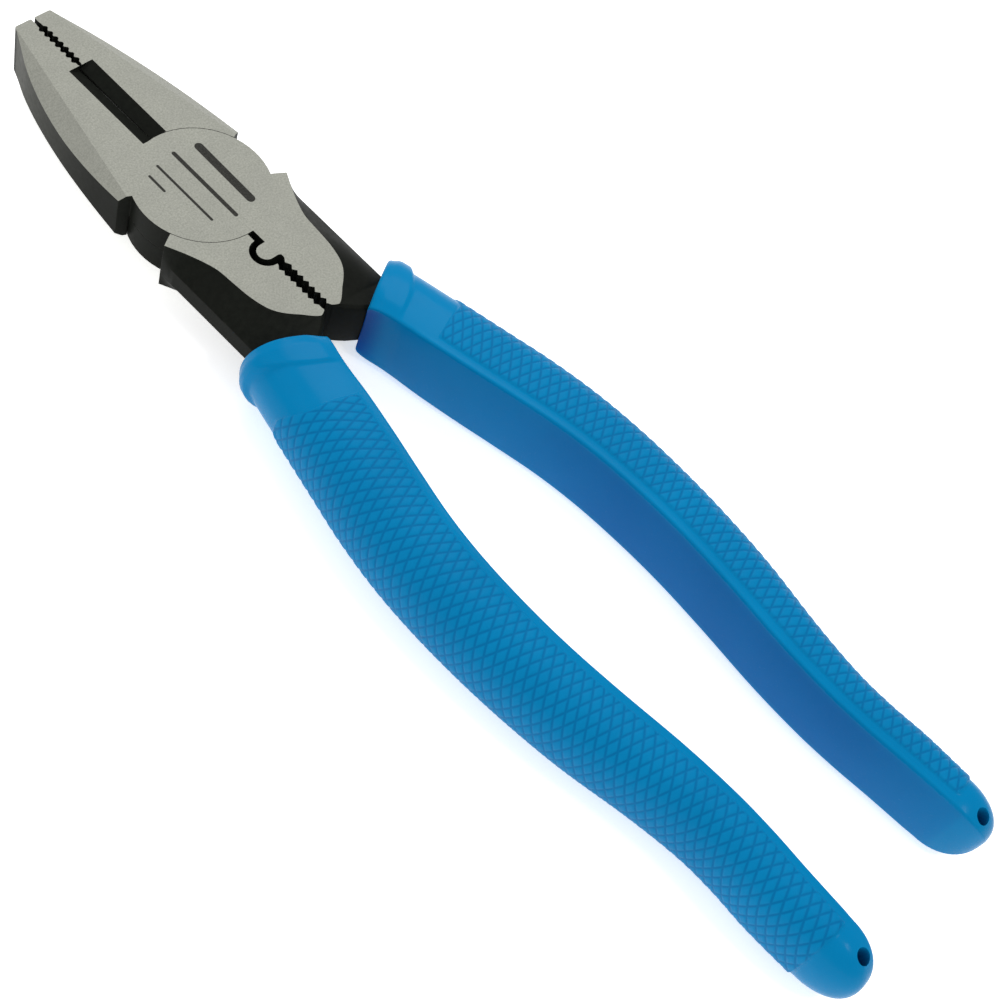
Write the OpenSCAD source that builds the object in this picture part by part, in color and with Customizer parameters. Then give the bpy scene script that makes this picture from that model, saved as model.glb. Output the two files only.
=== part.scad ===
// Lineman pliers: two forged halves lap-jointed on one flush rivet, with a
// moulded grip sleeve pushed over each tang. Sizes are in millimetres.
// The origin is where the pivot axis meets the rear ground face; +Z is the
// pivot axis pointing out of the face with the shallow cutter groove, +Y
// points to the nose and +X is the side of the rear half's jaw.

/* [Overall] */
// Which sub-part to draw
// Thickness across the two ground faces of the head
head_thickness = 11.1; // [9:0.1:14]
// Nose tip measured from the pivot
jaw_reach = 47; // [40:0.5:55]
// Opening angle between the two halves as drawn
rest_opening = 0.8; // [0.4:0.1:3]

/* [Pivot] */
// Radius of the round hub of each half
hub_radius = 13; // [11:0.1:16]
// Radial gap between a hub and the recess it turns in
hub_gap = 0.12; // [0.05:0.01:0.3]
// Gap between the two lapped hub faces
lap_gap = 0.04; // [0.02:0.01:0.1]
// Radius of the rivet shank
rivet_radius = 4.5; // [3.5:0.1:6]
// Radius of the countersunk rivet heads where they meet the ground faces
rivet_head_radius = 5.7; // [5:0.1:7]
// Depth of each countersunk rivet head
rivet_head_depth = 1.2; // [0.8:0.1:2]
// Radial clearance of the rivet in the half that turns on it
rivet_clearance = 0.03; // [0.01:0.01:0.1]

/* [Jaws] */
// Outer corner of the square nose, from the centre plane
nose_half_width = 4; // [3:0.1:6]
// Outer corner of the jaw heel, from the centre plane
heel_half_width = 14.2; // [12:0.1:18]
// Slope of the ground bevel along the outer edge of each jaw
bevel_angle = 36; // [20:1:50]
// Half width of the cutter groove on the front face
groove_half_width = 2.7; // [2:0.1:4]
// Depth from the front face to the cutting edge
groove_depth = 1.3; // [0.8:0.1:3]
// Half width of the relief behind the cutting edge at the rear face
relief_half_width = 3.6; // [2:0.1:5]
// Nose end of the cutter
cutter_end = 33.4; // [28:0.1:38]
// Number of cross grooves in each nose face
nose_grooves = 7; // [3:1:12]
// Pitch of the cross grooves
groove_pitch = 1.5; // [1:0.05:2]
// Depth of the cross grooves
serration_depth = 0.62; // [0.3:0.02:0.8]

/* [Necks] */
// Half width of each neck at its side flat
neck_half_width = 15; // [13:0.1:18]
// Height of the side flat above and below the middle plane
side_flat = 1.9; // [1:0.1:3]
// Number of grooves in each pipe gripping edge
grip_grooves = 7; // [3:1:12]
// Radius of the crimping tongue
tongue_radius = 1.72; // [1:0.02:3]
// Radius of the crimping nest
nest_radius = 3.05; // [2:0.05:4]

/* [Grips] */
// Height of the ridges that border the inner flat of the sleeve
ridge_height = 8; // [6:0.1:10]
// Half thickness of the sleeve at its crown
crown_height = 8.6; // [7:0.1:11]
// Proud height of the guard lip at the mouth of the sleeve
lip_height = 0.9; // [0.3:0.05:2]
// Proud height of the textured zone
texture_height = 0.35; // [0.1:0.05:0.8]
// Radius of the lanyard hole
lanyard_radius = 1.35; // [1:0.05:2.5]
// Clearance between the tang and the sleeve
sleeve_clearance = 0.06; // [0.02:0.01:0.2]

/* [Hidden] */
half_thick = head_thickness / 2;
edge_slope = tan(rest_opening / 2);
hub_fn = 128;
overshoot = 1;  // cuts run this far past a face
through = 40;   // height of cuts that pass through the whole tool

// ---- shared functions ----------------------------------------------------
function blend(a, b, s) = a + (b - a) * s;
function signed_pow(v, power) = sign(v) * pow(abs(v), power);

// Smooth curve through the rows [y, value...] of a table with falling y.
function row_at(table, y, i = 0) =
    (i >= len(table) - 2 || y > table[i + 1][0]) ? i : row_at(table, y, i + 1);
function row_slope(table, i, column) =
    let (before = table[max(0, i - 1)], after = table[min(len(table) - 1, i + 1)])
    (after[column] - before[column]) / (after[0] - before[0]);
function curve(table, y, column = 1) =
    let (
        i = row_at(table, y),
        span = table[i + 1][0] - table[i][0],
        s = (y - table[i][0]) / span,
        r = 1 - s,
        start_slope = row_slope(table, i, column) * span,
        end_slope = row_slope(table, i + 1, column) * span
    )
    table[i][column] * (1 + 2 * s) * r * r + start_slope * s * r * r
    + table[i + 1][column] * s * s * (3 - 2 * s) - end_slope * s * s * r;

// Closed solid through rings of equal point count; rings hold [x, y, z].
module shell(rings) {
    n = len(rings[0]);
    last = len(rings) - 1;
    polyhedron(
        points = [for (ring = rings) each ring],
        faces = concat(
            [[for (i = [0:n - 1]) n - 1 - i]],
            [for (j = [0:last - 1]) for (i = [0:n - 1])
                let (k = (i + 1) % n, near = j * n, far = near + n)
                each [[near + i, far + k, far + i], [near + i, near + k, far + k]]],
            [[for (i = [0:n - 1]) last * n + i]]),
        convexity = 6);
}

// ---- jaws ----------------------------------------------------------------
nose_chamfer = 0.1;
heel_y = 6;
edge_steps = 24;
land_gap = 0.15;        // inner edge to the closing line between serrations
cutter_gap = 0.01;      // the same at the cutting edge
throat_gap = 0.16;      // between hub and cutter
tip_gap = 0.05;
cutter_start = 12.9;    // hub end of the cutter
relief_setback = 1.2;   // relief stops short of the cutter's nose end
first_groove = 34.9;
// One cross groove: [y from its middle, gap to the closing line].
GROOVE = [[-0.62, land_gap], [-0.18, serration_depth], [0.18, serration_depth], [0.62, land_gap]];
// Outer edge of a jaw, from the nose down to the heel: [y, x].
JAW_EDGE = [
    [jaw_reach - nose_chamfer, nose_half_width], [44.5, nose_half_width + 1.1], [38.8, 7.9],
    [31.7, 10.4], [23.8, 12.35], [17, 13.4], [11, 13.95], [heel_y, heel_half_width]];
// Line the bevel is ground along: [x, y] at the nose and at the heel.
BEVEL_NOSE = [nose_half_width + 0.04, jaw_reach - 0.05];
BEVEL_HEEL = [12.9, 5.5];

// Point of the inner edge, at a gap from the slanted closing line.
function inner_edge(y, gap) = [y * edge_slope + gap, y];

module jaw_plan() {
    polygon(concat(
        [inner_edge(jaw_reach, 0.2), [nose_half_width - 0.3, jaw_reach]],
        [for (i = [0:edge_steps])
            let (y = blend(JAW_EDGE[0][0], heel_y, i / edge_steps)) [curve(JAW_EDGE, y), y]],
        [[12.07, 5.0], [7, 2.9], [1, 6]],
        [inner_edge(8, throat_gap), inner_edge(cutter_start, throat_gap),
         inner_edge(cutter_start, cutter_gap), inner_edge(cutter_end, cutter_gap),
         inner_edge(cutter_end + 0.35, land_gap)],
        [for (i = [0:nose_grooves - 1], p = GROOVE)
            inner_edge(first_groove + i * groove_pitch + p[0], p[1])],
        [inner_edge(45.1, land_gap), inner_edge(45.6, tip_gap),
         inner_edge(jaw_reach - 0.2, tip_gap)]));
}

// Flat bevel ground along the outer edge of the front and rear face.
module jaw_bevel() {
    run = BEVEL_HEEL - BEVEL_NOSE;
    spare = 12;  // extra length at each end
    for (s = [0, 1]) mirror([0, 0, s])
        translate([BEVEL_NOSE[0], BEVEL_NOSE[1], half_thick])
            rotate([0, 0, atan2(run[1], run[0])])
                rotate([-bevel_angle, 0, 0])
                    translate([-spare, -1, 0]) cube([norm(run) + 2 * spare, 16, 8]);
}

// Prism along Y from the hub end of the cutter to end_y; points are [x, z].
module cutter_prism(end_y, points) {
    translate([0, end_y, 0]) rotate([90, 0, 0])
        linear_extrude(height = end_y - cutter_start) polygon(points);
}

// Cutter: shallow groove in one face (+Z if up is 1, -Z if -1), deeper
// relief from the other face.
module cutter_cut(up) {
    edge_z = half_thick - groove_depth;
    relief_z = edge_z - 0.35;
    outside_z = half_thick + overshoot;
    cutter_prism(cutter_end, [
        [-1, up * outside_z], [groove_half_width, up * outside_z],
        [groove_half_width, up * half_thick], [0.05, up * edge_z], [-1, up * edge_z]]);
    cutter_prism(cutter_end - relief_setback, [
        [-1, -up * outside_z], [relief_half_width + 0.3, -up * outside_z],
        [0.25, up * relief_z], [-1, up * relief_z]]);
}

// ---- necks ---------------------------------------------------------------
// Drawn on +X. Outline of the ground face: [y, half width].
FACE = [
    [-6.6, 14.6], [-8, 13.85], [-10, 12.8], [-13.3, 11.35], [-16, 10.5], [-20, 10.15],
    [-23.5, 9.8], [-27, 8.9], [-29, 7.7], [-30.6, 6.1], [-31.6, 4.9], [-32.5, 4.0],
    [-33.1, 3.3], [-33.5, 2.75], [-33.75, 2.25]];
// Start of the neck beside the hub: [y, half width of the face, outer side].
NECK_START = [[-5.25, 12.1, 12.16], [-5.9, 13.35, 13.42], [FACE[0][0], FACE[0][1], 14.7]];
// Tapering end of the face and the shoulder beyond it: [y, inner wall, crest,
// drop of the crest below the face, outer side beyond neck_half_width, lean].
ROOT = [
    [-33, 0.75, 0.8, 0, 0, 0], [-33.2, 0.88, 1.0, 0, 0, 0], [-33.4, 1.02, 1.3, 0, 0, 0],
    [-33.6, 1.18, 1.7, 0, 0, 0], [-33.75, 1.32, 2.1, 0, 0, 0],
    [-34.2, 1.75, 2.75, 0.05, 0.05, 0.01], [-35, 2.5, 3.6, 0.13, 0.1, 0.05],
    [-36, 3.6, 4.8, 0.21, 0.15, 0.11], [-37, 5.1, 6.3, 0.29, 0.2, 0.18],
    [-38, 6.7, 7.9, 0.4, 0.25, 0.25], [-39, 7.7, 8.9, 0.5, 0.3, 0.31],
    [-40.5, 8.4, 9.7, 0.65, 0.35, 0.38], [-42.5, 8.9, 10.2, 0.8, 0.4, 0.42]];
neck_wall = -4.5;       // inner wall before the side cuts
face_steps = 36;
face_rings_end = -32.9;
cut_top = -4;           // Y range and far side of the inner side cuts
cut_bottom = -33.38;
cut_far = -8;

// One section of the neck: inner edge, crest, ground edge, slope down to the
// side flat, then the same mirrored below. The slope turns from straight to
// cubic towards the root. lean skews the ring in Y.
function neck_ring(y, wall, crest, face, height, side, grow = 0, lean = 0) =
    let (
        straight = 1 - 0.62 * min(1, max(0, (-y - 19) / 14)),
        top = height + grow,
        upper = concat(
            [[wall - grow, height - 1.1],
             [blend(wall, crest, 0.3) - grow * 0.8, height - 0.35 + grow * 0.5],
             [crest, top], [face, top]],
            [for (i = [1:5]) let (s = i / 6)
                [blend(face, side + grow, s), blend(top, side_flat, blend(s * s * s, s, straight))]],
            [[side + grow, side_flat]]),
        n = len(upper)
    )
    [for (i = [0:2 * n - 1]) let (p = i < n ? upper[i] : upper[2 * n - 1 - i])
        [p[0], y + lean * (p[0] - wall), i < n ? p[1] : -p[1]]];

function face_ring(y, face, side) =
    neck_ring(y, neck_wall, neck_wall + 0.4, face, half_thick, side);
function face_rings() = concat(
    [for (row = NECK_START) face_ring(row[0], row[1], row[2])],
    [for (i = [1:face_steps]) let (y = blend(FACE[0][0], face_rings_end, i / face_steps))
        face_ring(y, curve(FACE, y), min(neck_half_width, 14.75 - (y + 7) * 0.12))]);
function root_rings(grow) =
    [for (row = ROOT)
        let (
            y = row[0], crest = row[2],
            face = y >= FACE[len(FACE) - 1][0] ? curve(FACE, y) : 0
        )
        neck_ring(y, row[1], crest, max(face, crest + 0.12), half_thick - row[3],
            neck_half_width + row[4], grow, row[5])];

// Neck and tang in one piece.
module neck() {
    shell(concat(face_rings(), root_rings(0), tang_rings(0)));
}

// The part of it that the sleeve is pushed over, grown by the clearance.
module sleeve_cavity() {
    y = -30.5;
    shell(concat(
        [neck_ring(y, 0.7, 0.75, curve(FACE, y), half_thick, neck_half_width, sleeve_clearance)],
        root_rings(sleeve_clearance), tang_rings(sleeve_clearance)));
}

// Half circle from +Y to -Y, passing -X if turn is 1 and +X if it is -1.
function half_circle(x, y, radius, turn) =
    [for (i = [0:12]) let (a = 90 + turn * i * 15) [x + radius * cos(a), y + radius * sin(a)]];
// Saw-tooth gripping edge going down from start_y.
function teeth(start_y, valley, crest) =
    [for (i = [0:grip_grooves - 1]) let (y = start_y - i * groove_pitch)
        each [[valley, y], [crest, y - groove_pitch / 2]]];

// Cuts away the inner side of the neck up to the given edge.
module side_cut(edge) {
    linear_extrude(height = through, center = true)
        polygon(concat([[cut_far, cut_top]], edge, [[cut_far, cut_bottom]]));
}

module tongue_side_cut() {
    side_cut(concat(
        [[0.5, cut_top], [0.5, -16.1]],
        half_circle(-0.83, -17.82, tongue_radius, 1),
        [[0.6, -19.55], [1.05, -19.8], [1.05, -20.6], [0.4, -21.5]],
        teeth(-22.6, 1.02, 0.36),
        [[0.6, -32.6], [0.8, -33], [1.05, cut_bottom]]));
}

module nest_side_cut() {
    side_cut(concat(
        [[0.9, cut_top]],
        half_circle(0.9, -17.9, nest_radius, -1),
        [[1.0, -21.3]],
        teeth(-22.1, 1.62, 1.0),
        [[1.05, -32.6], [0.95, -33], [1.1, cut_bottom]]));
}

// ---- grips and tangs -----------------------------------------------------
mouth_y = -37.9;
texture_start = -51;
texture_end = -167.4;
texture_steps = 36;
sleeve_end = -168;      // where the rounded end begins
end_round = 8.5;        // length of the rounded end
mouth_fade = 7;         // length over which the hollow of the flat fades out
flat_hollow = 0.65;     // at the mouth
flat_bulge = 0.4;       // further down
crown_place = 0.4;      // crown, as a share of the width from the flat
crown_lip = 0.4;        // share of the lip height that reaches the crown
lanyard_place = [17.4, -172.8];
tang_start = -46.5;
tang_end = -156;
tang_inset = 1.8;       // flat of the sleeve to the tang
tang_margin = 5.6;      // sleeve width less tang width
tang_steps = 20;

// Inner flat of the sleeve: [y at the inner flat, x of the flat, x of the
// outermost line, rise of the section towards the outside].
GRIP = [
    [mouth_y, 5.0, 18.2, 6.9], [-43.5, 6.7, 19.8, 6.4], [-51, 8.2, 22.0, 4.6],
    [-60, 10.2, 24.4, 3.2], [-67.5, 12.0, 26.3, 2.4], [-77, 14.1, 27.9, 1.7],
    [-86, 15.3, 28.6, 0.7], [-96, 15.8, 28.6, -0.2], [-106, 15.7, 28.0, -1.0],
    [-117, 14.9, 26.7, -1.6], [-131, 13.5, 24.1, -1.3], [-142, 13.0, 22.7, -0.5],
    [-150, 13.2, 22.6, 0.2], [-158, 13.8, 23.1, 0.5], [sleeve_end, 14.4, 23.0, 0]];
// Thickness of the sleeve relative to the middle: [y, factor].
SWELL = [[-38, 0.94], [-60, 1], [-95, 1.01], [-130, 0.98], [-168, 0.95], [-177, 0.95]];
// Stations down the sleeve: [y, lip height, texture height]. A negative lip
// draws the section in, to round the edge of the mouth.
STATIONS = concat(
    [[mouth_y, -0.5, 0], [-38.0, -0.2, 0], [-38.3, 0, 0], [-39.0, 0.4 * lip_height, 0],
     [-40.2, 0.75 * lip_height, 0], [-42, lip_height, 0], [-43, lip_height, 0],
     [-43.5, 0.85 * lip_height, 0], [-44.1, 0.3 * lip_height, 0], [-44.7, 0, 0],
     [-47.5, 0, 0], [-50.6, 0, 0], [texture_start, 0, texture_height]],
    [for (i = [1:texture_steps])
        [blend(texture_start, texture_end, i / texture_steps), 0, texture_height]],
    [[-167.8, 0, 0]]);

// Section line at y, from flat to outside: [x of the flat, direction x,
// direction y, width].
function section_line(y) =
    let (
        flat = curve(GRIP, y, 1),
        run = curve(GRIP, y, 2) - flat,
        rise = curve(GRIP, y, 3),
        width = norm([run, rise])
    )
    [flat, run / width, rise / width, width];

// One ring of the sleeve surface, scaled by shrink about its middle. The lip
// and the texture fade out towards the inner flat. Points are first laid out
// as [distance outward from the flat, z].
function sleeve_ring(y, lip, texture, shrink = 1) =
    let (
        line = section_line(y),
        width = line[3],
        crown = crown_place * width,
        swell = curve(SWELL, y),
        ridge_z = ridge_height * swell,
        crown_z = crown_height * swell,
        mouth = max(0, min(1, 1 - (mouth_y - y) / mouth_fade)),
        hollow = blend(-flat_bulge, flat_hollow, mouth),
        rim = min(0, lip),
        proud = max(0, lip),
        flat = [for (s = [-0.97, -0.5, 0, 0.5, 0.97])
            [hollow * (1 - s * s) - rim * 0.35, s * (ridge_z + rim)]],
        shoulder = [for (s = [0.06, 0.3, 0.65])
            [s * crown, blend(ridge_z, crown_z, 1 - (1 - s) * (1 - s)) + rim
                + (proud * crown_lip + texture) * min(1, s * 2)]],
        outside = [for (i = [0:12])
            let (
                a = 90 - i * 15,
                extra = rim + texture + proud * (1 - (1 - crown_lip) * abs(sin(a)))
            )
            [crown + (width - crown + extra) * signed_pow(cos(a), 0.9),
             (crown_z + extra) * signed_pow(sin(a), 0.9)]],
        lower = [for (i = [2:-1:0]) [shoulder[i][0], -shoulder[i][1]]],
        middle = width * 0.47
    )
    [for (p = concat(flat, shoulder, outside, lower))
        let (out = blend(middle, p[0], shrink))
        [line[0] + out * line[1], y + out * line[2], p[1] * shrink]];

// Ring of the rounded end: the last section shrinks as it moves on.
function end_ring(angle) =
    [for (p = sleeve_ring(sleeve_end, 0, 0, pow(cos(angle), 0.85)))
        p - [0, end_round * sin(angle), 0]];

module sleeve_shell() {
    shell(concat(
        [for (s = STATIONS) sleeve_ring(s[0], s[1], s[2])],
        [for (i = [1:10]) end_ring(i * 8.8)]));
}

// Ring of the tang, a rounded bar that leans with the sleeve; t runs from 0
// near the mouth to 1 at its end.
function tang_ring(t, grow) =
    let (
        y = blend(tang_start, tang_end, t),
        line = section_line(y),
        half_width = (line[3] - tang_margin) / 2,
        middle = tang_inset + half_width,
        across = half_width * (1 - 0.14 * t) + grow,
        height = blend(4.7, 3.4, t) + grow
    )
    [for (i = [0:19])
        let (a = i * 18 + 9, out = middle - across * signed_pow(cos(a), 0.72))
        [line[0] + out * line[1], y + out * line[2], height * signed_pow(sin(a), 0.72)]];
// A grown tang is also slightly longer, to clear the end of the real one.
function tang_rings(grow) =
    [for (i = [0:tang_steps])
        tang_ring(i / tang_steps + (grow > 0 && i == tang_steps ? 0.002 : 0), grow)];

// ---- solids, centred on the middle plane ---------------------------------
// One forging, drawn with its hub on top, its jaw on -X and its handle on +X.
// The front one has the tongue and the groove on top and holds the rivet
// tight; the other has the nest and the groove below and turns on the rivet.
module forging(front) {
    difference() {
        union() {
            mirror([1, 0, 0]) difference() {
                translate([0, 0, -half_thick])
                    linear_extrude(height = head_thickness) jaw_plan();
                jaw_bevel();
                cutter_cut(front ? 1 : -1);
            }
            translate([0, 0, lap_gap / 2])
                cylinder(r = hub_radius, h = half_thick - lap_gap / 2, $fn = hub_fn);
            difference() {
                neck();
                if (front) tongue_side_cut();
                else nest_side_cut();
                translate([0, 0, -through / 2])
                    cylinder(r = hub_radius - 0.8, h = through, $fn = hub_fn);
            }
        }
        // Recess for the other half's hub.
        translate([0, 0, -half_thick - overshoot])
            cylinder(r = hub_radius + hub_gap, h = half_thick + overshoot + lap_gap / 2,
                $fn = hub_fn);
        rivet(front ? 0 : rivet_clearance);
    }
}

// Rivet; with a clearance it is the hole, which runs past both faces.
module rivet(clearance) {
    end_z = half_thick + (clearance > 0 ? overshoot : 0);
    shank_z = half_thick - rivet_head_depth;
    head = rivet_head_radius + clearance;
    shank = rivet_radius + clearance;
    rotate_extrude($fn = hub_fn) polygon([
        [0, -end_z], [head, -end_z], [head, -half_thick], [shank, -shank_z],
        [shank, shank_z], [head, half_thick], [head, end_z], [0, end_z]]);
}

module sleeve() {
    difference() {
        sleeve_shell();
        sleeve_cavity();
        translate([lanyard_place[0], lanyard_place[1], -through / 2])
            cylinder(r = lanyard_radius, h = through, $fn = 48);
    }
}

// ---- nodes ---------------------------------------------------------------
// Lifts the rear face to z = 0.
module lift() translate([0, 0, half_thick]) children();
// Half turn about Y, to the other side of the tool.
module turned() mirror([1, 0, 0]) mirror([0, 0, 1]) children();

module front_half() color([0.62, 0.62, 0.59]) lift() forging(true);
module rear_half() color([0.6, 0.6, 0.57]) lift() turned() forging(false);
module pivot_rivet() color([0.64, 0.64, 0.61]) lift() rivet(0);
module right_grip() color([0.1, 0.5, 0.75]) lift() sleeve();
module left_grip() color([0.1, 0.5, 0.75]) lift() turned() sleeve();

front_half();
rear_half();
pivot_rivet();
right_grip();
left_grip();
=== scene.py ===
"""A two-handled forged tool: two steel halves on a pivot rivet, with blue moulded sleeves.

It lies flat with the pivot near the origin, the jaws toward +Y and the handles toward -Y.
The steel's two ground planes are at z = 0 and z = THICK. The right sleeve is on the +X side
and the left one is its mirror image. Sizes are in millimetres unless a comment says metres.
"""
import bpy, bmesh, math
import numpy as np
from mathutils import Matrix, Vector


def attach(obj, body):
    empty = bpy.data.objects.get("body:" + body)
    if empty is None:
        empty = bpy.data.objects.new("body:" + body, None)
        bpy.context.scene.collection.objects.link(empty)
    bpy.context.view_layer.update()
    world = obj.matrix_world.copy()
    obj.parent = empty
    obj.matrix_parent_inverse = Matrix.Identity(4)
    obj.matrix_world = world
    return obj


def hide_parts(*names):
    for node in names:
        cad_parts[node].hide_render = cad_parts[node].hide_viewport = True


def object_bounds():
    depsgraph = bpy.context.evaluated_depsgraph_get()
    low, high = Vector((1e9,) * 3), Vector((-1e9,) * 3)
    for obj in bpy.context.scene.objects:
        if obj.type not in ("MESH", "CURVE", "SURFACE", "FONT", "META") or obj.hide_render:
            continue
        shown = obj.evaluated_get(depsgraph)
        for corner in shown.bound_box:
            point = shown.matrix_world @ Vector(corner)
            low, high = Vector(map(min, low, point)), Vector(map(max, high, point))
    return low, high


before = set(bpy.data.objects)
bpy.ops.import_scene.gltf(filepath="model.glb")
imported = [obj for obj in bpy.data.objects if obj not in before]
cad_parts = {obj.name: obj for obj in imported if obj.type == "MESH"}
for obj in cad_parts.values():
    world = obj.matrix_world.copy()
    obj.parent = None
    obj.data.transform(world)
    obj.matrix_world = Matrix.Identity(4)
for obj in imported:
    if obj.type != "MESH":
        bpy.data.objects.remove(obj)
CAD_BOX = [list(map(float, c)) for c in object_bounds()]
scene = bpy.context.scene
MM = 0.001
THICK = 11.1
HALF_THICK = THICK / 2


# ---------------------------------------------------------------- node helpers
class Tree:
    """Builds one shader node tree."""

    def __init__(self, name):
        self.mat = bpy.data.materials.new(name)
        self.mat.use_nodes = True
        self.nodes = self.mat.node_tree.nodes
        self.nodes.clear()
        self.out = self.new("ShaderNodeOutputMaterial")

    def new(self, kind, **settings):
        node = self.nodes.new(kind)
        for key, value in settings.items():
            setattr(node, key, value)
        return node

    def link(self, source, target):
        self.mat.node_tree.links.new(source, target)

    def val(self, socket, value):
        """Link a socket, or set a plain value."""
        if isinstance(value, bpy.types.NodeSocket):
            self.link(value, socket)
        else:
            socket.default_value = value

    def feed(self, node, values):
        for name, value in values.items():
            self.val(node.inputs[name], value)

    def math(self, op, a, b=0.0, clamp=False):
        node = self.new("ShaderNodeMath", operation=op, use_clamp=clamp)
        for socket, value in zip(node.inputs, (a, b, 0.0)):
            self.val(socket, value)
        return node.outputs[0]

    def add(self, a, b):
        return self.math("ADD", a, b)

    def sub(self, a, b, clamp=False):
        return self.math("SUBTRACT", a, b, clamp)

    def mul(self, a, b, clamp=False):
        return self.math("MULTIPLY", a, b, clamp)

    def remap(self, x, span, to=(0.0, 1.0), kind="LINEAR"):
        node = self.new("ShaderNodeMapRange", interpolation_type=kind)
        for socket, value in zip(node.inputs, (x, *span, *to)):
            self.val(socket, value)
        return node.outputs[0]

    def step(self, x, off, on):
        """Smooth switch: 0 at x = off, 1 at x = on."""
        return self.remap(x, span=(off, on), kind="SMOOTHSTEP")

    def blend(self, kind, first, factor, a, b):
        """Mix node; `first` is the index of input A for this data type."""
        node = self.new("ShaderNodeMix", data_type=kind)
        self.val(node.inputs[0], factor)
        self.val(node.inputs[first], a)
        self.val(node.inputs[first + 1], b)
        return node

    def mix(self, factor, a, b):
        return self.blend("RGBA", 6, factor, a, b).outputs[2]

    def mixf(self, factor, a, b):
        return self.blend("FLOAT", 2, factor, a, b).outputs[0]

    def mixv(self, factor, a, b):
        return self.blend("VECTOR", 4, factor, a, b).outputs[1]

    def noise(self, vector, scale, detail, rough):
        node = self.new("ShaderNodeTexNoise")
        self.feed(node, {"Vector": vector, "Scale": scale, "Detail": detail, "Roughness": rough})
        return node.outputs[0]

    def split(self, vector):
        node = self.new("ShaderNodeSeparateXYZ")
        self.link(vector, node.inputs[0])
        return node.outputs

    def finish(self, shader):
        self.link(shader.outputs[0], self.out.inputs[0])
        return self.mat


def rgb(r, g, b):
    """sRGB 0-255 to linear RGBA."""
    def linear(c):
        c /= 255.0
        return c / 12.92 if c <= 0.04045 else ((c + 0.055) / 1.055) ** 2.4
    return (linear(r), linear(g), linear(b), 1.0)


# ---------------------------------------------------------------- forged steel
# bare steel: two cloud tones, the dark of the grain, light rubbed patches
STEEL_A, STEEL_B = rgb(153, 154, 145), rgb(160, 161, 151)
STEEL_GRAIN, STEEL_RUB = rgb(126, 127, 119), rgb(172, 172, 163)
# black oxide: two mottle tones, a broad cloud, a painted reflection on the sides towards the nose,
# edges lighter from wear and a painted highlight
BLACK_A, BLACK_B, BLACK_CLOUD = rgb(18, 20, 17), rgb(29, 31, 27), rgb(22, 23, 20)
PAINTED_TIP_REFLECTION, WEAR_AND_HIGHLIGHT = rgb(78, 79, 74), rgb(66, 66, 62)
ETCH = rgb(40, 40, 38)

# Plain etched strokes on the hub: start x, y, end x, y, half width
STROKES = [(5.3, 6.9, 5.05, -7.3, 0.85),
           (0.45, 8.2, 0.35, -8.6, 0.42),
           (-3.9, 7.6, -3.95, -7.0, 0.26),
           (-6.6, 6.6, -6.65, 2.6, 0.26)]
STROKE_BLUR = 0.05


def stroke_mask(t, x, y, start_x, start_y, end_x, end_y, half_width):
    """1 inside a round-ended stroke, else 0."""
    run_x, run_y = end_x - start_x, end_y - start_y
    px = t.sub(x, start_x)
    py = t.sub(y, start_y)
    dot = t.add(t.mul(px, run_x), t.mul(py, run_y))
    k = t.math("DIVIDE", dot, run_x * run_x + run_y * run_y, clamp=True)
    qx = t.sub(px, t.mul(k, run_x))
    qy = t.sub(py, t.mul(k, run_y))
    dist = t.math("SQRT", t.add(t.mul(qx, qx), t.mul(qy, qy)))
    return t.step(dist, off=half_width + STROKE_BLUR, on=half_width - STROKE_BLUR)


def hub_marks(t, x, y):
    marks = None
    for stroke in STROKES:
        mask = stroke_mask(t, x, y, *stroke)
        marks = mask if marks is None else t.math("MAXIMUM", marks, mask)
    return marks


def bare_masks(t, side_x, y, mid_z, up):
    """Masks of the two ground planes, and of all bare steel.
    side_x and mid_z are distances from the middle, up is the normal's |z|."""
    flat = t.mul(t.step(mid_z, off=HALF_THICK - 0.012, on=HALF_THICK - 0.004),
                 t.step(up, off=0.9990, on=0.9996))
    # sloping faces of the jaws, except for a central strip
    jaw = t.mul(t.step(up, off=0.70, on=0.74), t.step(y, off=4.5, on=4.8))
    centre = t.mul(t.mul(t.step(side_x, off=4.35, on=4.3), t.step(y, off=12.5, on=12.6)),
                   t.step(y, off=33.9, on=33.7))
    slopes = t.mul(jaw, t.sub(1.0, centre))
    slopes = t.mul(slopes, t.step(up, off=0.9990, on=0.9980))
    return flat, t.math("MAXIMUM", flat, slopes, clamp=True)


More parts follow.
